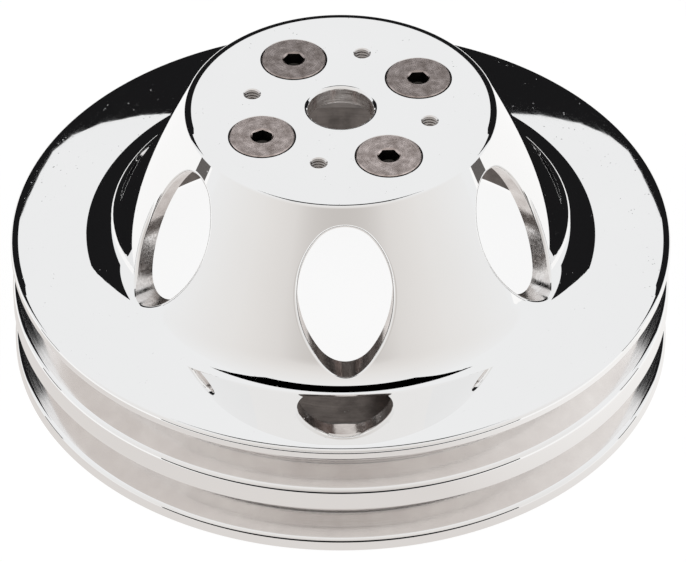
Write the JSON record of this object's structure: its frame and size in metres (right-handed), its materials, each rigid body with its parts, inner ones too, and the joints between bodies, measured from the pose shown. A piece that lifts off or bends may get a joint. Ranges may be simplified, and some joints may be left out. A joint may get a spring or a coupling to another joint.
{
  "type": "V-belt pulley",
  "caption": "Polished V-belt pulley with a grooved rim, a conical nose with oval windows, and a flat bolted nose face with a pilot bore.",
  "frame": {"origin": "centre of the pilot bore at the back, seating face of the nose plate", "axes": "+Z along the pulley's axis towards the nose face; +X through the centre of a window and of a screw"},
  "size_m": [0.1636, 0.1636, 0.0713],
  "materials": {
    "polished_aluminium": "mirror polished",
    "screw_steel": "dark oxide, worn to grey"
  },
  "bodies": {
    "pulley": {"pulley_body": "polished_aluminium"},
    "screw_east": {"screw_east": "screw_steel"},
    "screw_north": {"screw_north": "screw_steel"},
    "screw_west": {"screw_west": "screw_steel"},
    "screw_south": {"screw_south": "screw_steel"}
  },
  "joints": [
    {"name": "screw_east_lift", "type": "slide", "parent": "pulley", "child": "screw_east", "axis": [0, 0, 1], "range_m": [0, 0.026]},
    {"name": "screw_north_lift", "type": "slide", "parent": "pulley", "child": "screw_north", "axis": [0, 0, 1], "range_m": [0, 0.026]},
    {"name": "screw_west_lift", "type": "slide", "parent": "pulley", "child": "screw_west", "axis": [0, 0, 1], "range_m": [0, 0.026]},
    {"name": "screw_south_lift", "type": "slide", "parent": "pulley", "child": "screw_south", "axis": [0, 0, 1], "range_m": [0, 0.026]}
  ]
}
